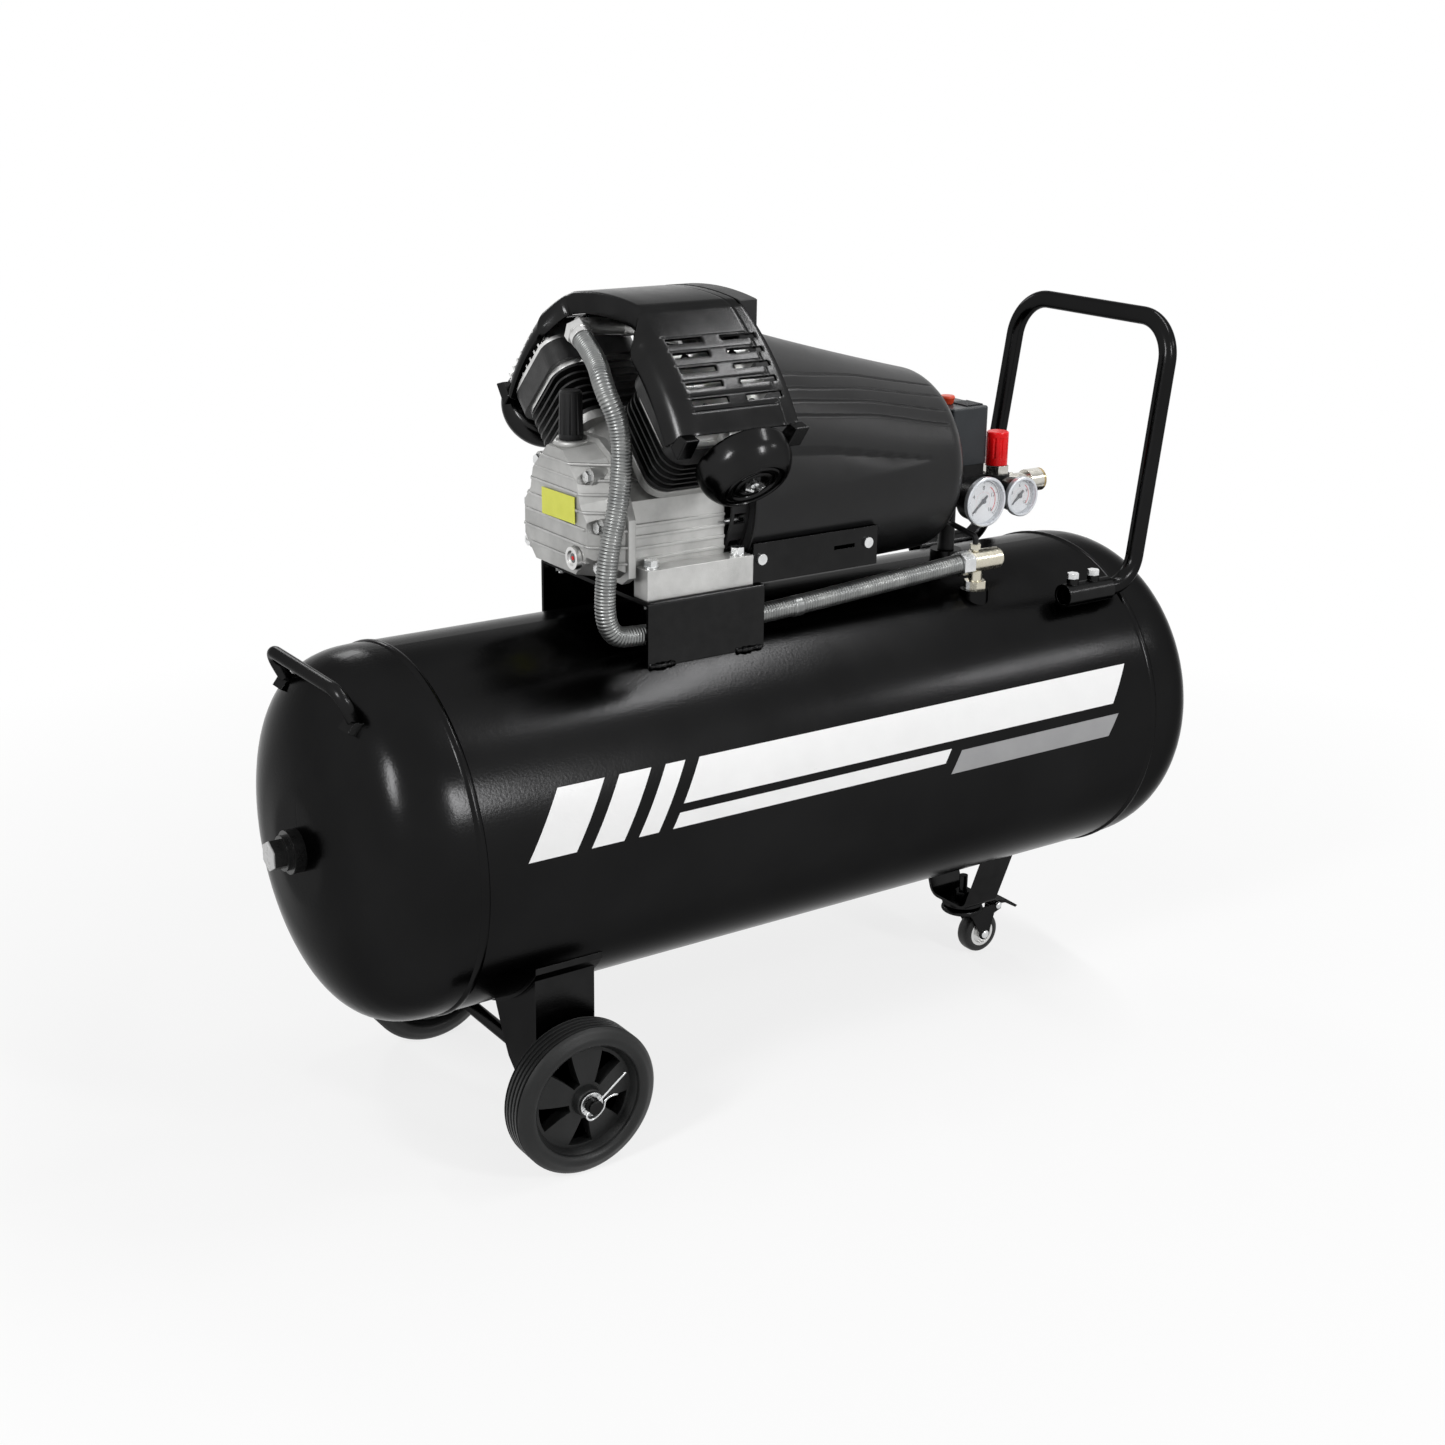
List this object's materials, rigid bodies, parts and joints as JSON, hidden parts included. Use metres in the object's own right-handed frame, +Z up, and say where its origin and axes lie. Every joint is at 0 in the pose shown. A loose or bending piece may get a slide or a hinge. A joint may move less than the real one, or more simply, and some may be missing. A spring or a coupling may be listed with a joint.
{
  "type": "air compressor",
  "caption": "Wheeled horizontal receiver with a direct-drive V-twin pump, shrouded motor, pressure switch, regulator, gauges and a push handle.",
  "frame": {"origin": "on the floor under the middle of the overall box", "axes": "+X towards the push handle and castor end, -Y towards the gauges' faces, +Z up"},
  "size_m": [1.0625, 0.4228, 0.812],
  "materials": {
    "black_paint": "semi-gloss black paint",
    "bracket_paint": "satin black paint",
    "black_plastic": "gloss black plastic",
    "satin_plastic": "satin charcoal plastic",
    "matte_plastic": "matt black plastic",
    "die_cast": "raw die-cast aluminium",
    "aluminium": "machined aluminium",
    "zinc": "zinc plated steel",
    "steel": "bright steel",
    "core_steel": "laminated electrical steel",
    "iron": "black coated cast iron",
    "brass": "bright brass",
    "nickel": "nickel plated brass",
    "tyre": "black rubber",
    "castor_rubber": "grey-black rubber with a light hub",
    "switch_plastic": "dark blue-grey plastic",
    "orange_plastic": "orange-red plastic",
    "red_plastic": "red plastic",
    "dial_white": "white dial with black scale",
    "needle_black": "black pointer",
    "clear": "clear window",
    "hose_steel": "corrugated stainless braid"
  },
  "bodies": {
    "receiver_frame": {"castor_stem": "bracket_paint", "castor_strap": "bracket_paint", "check_valve": "brass", "connecting_rods": "aluminium", "crank_throw": "steel", "crankcase": "die_cast", "crankcase_cover": "die_cast", "cylinder_heads": "aluminium", "cylinders": "iron", "delivery_hose": "hose_steel", "delivery_manifold": "aluminium", "drain_valve_body": "brass", "end_plug": "bracket_paint", "fixing_bolts": "zinc", "gauge_cases": "nickel", "gauge_dials": "dial_white", "gauge_lenses": "clear", "grab_handle": "bracket_paint", "handle_sockets": "bracket_paint", "intake_filters": "black_plastic", "motor_cover": "satin_plastic", "motor_end_shields": "die_cast", "motor_side_brackets": "bracket_paint", "motor_stator": "core_steel", "outlet_coupler": "nickel", "pistons": "aluminium", "pressure_switch_base": "matte_plastic", "pressure_switch_cover": "switch_plastic", "pump_saddle": "bracket_paint", "push_handle": "black_paint", "regulator_body": "matte_plastic", "regulator_nut": "nickel", "safety_valve": "brass", "shroud": "black_plastic", "shroud_rear_frame": "matte_plastic", "sight_glass": "aluminium", "tank_heads": "black_paint", "tank_shell": "black_paint", "unloader_tube": "matte_plastic", "valve_housings": "iron", "valve_plates": "aluminium", "wheel_axle": "zinc", "wheel_legs": "bracket_paint"},
    "front_wheel": {"front_wheel_rim": "black_plastic", "front_wheel_tyre": "tyre"},
    "rear_wheel": {"rear_wheel_rim": "black_plastic", "rear_wheel_tyre": "tyre"},
    "castor_swivel": {"castor_fork": "bracket_paint"},
    "castor_roller": {"castor_wheel": "castor_rubber"},
    "castor_brake": {"castor_brake_lever": "bracket_paint"},
    "motor_spindle": {"motor_rotor": "steel", "cooling_fan": "matte_plastic"},
    "unloader_switch": {"unloader_knob": "orange_plastic"},
    "regulator_handwheel": {"regulator_knob": "red_plastic"},
    "tank_needle": {"gauge_needle_large": "needle_black"},
    "outlet_needle": {"gauge_needle_small": "needle_black"},
    "coupler_collar": {"coupler_sleeve": "brass"},
    "drain_tap": {"drain_cock": "brass"},
    "safety_pull": {"safety_ring": "steel"},
    "oil_breather": {"oil_breather_cap": "matte_plastic"}
  },
  "joints": [
    {"name": "front_wheel_spin", "type": "hinge", "parent": "receiver_frame", "child": "front_wheel", "pos_m": [-0.29575, -0.163, 0.076], "axis": [0, 1, 0], "continuous": true},
    {"name": "rear_wheel_spin", "type": "hinge", "parent": "receiver_frame", "child": "rear_wheel", "pos_m": [-0.29575, 0.163, 0.076], "axis": [0, 1, 0], "continuous": true},
    {"name": "castor_swivel_turn", "type": "hinge", "parent": "receiver_frame", "child": "castor_swivel", "pos_m": [0.32825, 0, 0.066], "axis": [0, 0, 1], "continuous": true},
    {"name": "castor_wheel_spin", "type": "hinge", "parent": "castor_swivel", "child": "castor_roller", "pos_m": [0.35425, 0, 0.025], "axis": [0, 1, 0], "continuous": true},
    {"name": "castor_brake_press", "type": "hinge", "parent": "castor_swivel", "child": "castor_brake", "pos_m": [0.37325, 0, 0.0581], "axis": [0, 1, 0], "range_deg": [0, 16]},
    {"name": "motor_spin", "type": "hinge", "parent": "receiver_frame", "child": "motor_spindle", "pos_m": [0.01475, 0, 0.614], "axis": [1, 0, 0], "continuous": true},
    {"name": "switch_knob_pull", "type": "slide", "parent": "receiver_frame", "child": "unloader_switch", "axis": [0, 0, 1], "range_m": [0, 0.006]},
    {"name": "regulator_turn", "type": "hinge", "parent": "receiver_frame", "child": "regulator_handwheel", "pos_m": [0.30075, -0.045, 0.598], "axis": [0, 0, 1], "range_deg": [-1080, 0]},
    {"name": "tank_needle_swing", "type": "hinge", "parent": "receiver_frame", "child": "tank_needle", "pos_m": [0.24975, -0.091, 0.58], "axis": [0, 1, 0], "range_deg": [0, 270]},
    {"name": "outlet_needle_swing", "type": "hinge", "parent": "receiver_frame", "child": "outlet_needle", "pos_m": [0.30075, -0.091, 0.58], "axis": [0, 1, 0], "range_deg": [0, 270]},
    {"name": "coupler_collar_slide", "type": "slide", "parent": "receiver_frame", "child": "coupler_collar", "axis": [-1, 0, 0], "range_m": [0, 0.005], "stiffness_N_per_m": 600, "springref_m": -0.004},
    {"name": "drain_tap_turn", "type": "hinge", "parent": "receiver_frame", "child": "drain_tap", "pos_m": [-0.20025, 0, 0.108], "axis": [0, 0, 1], "range_deg": [0, 90]},
    {"name": "safety_ring_pull", "type": "slide", "parent": "receiver_frame", "child": "safety_pull", "axis": [0, 1, 0], "range_m": [0, 0.003], "stiffness_N_per_m": 1500, "springref_m": -0.003},
    {"name": "oil_breather_turn", "type": "hinge", "parent": "receiver_frame", "child": "oil_breather", "pos_m": [-0.203, 0, 0.677], "axis": [0, 0, 1], "range_deg": [0, 720]}
  ]
}
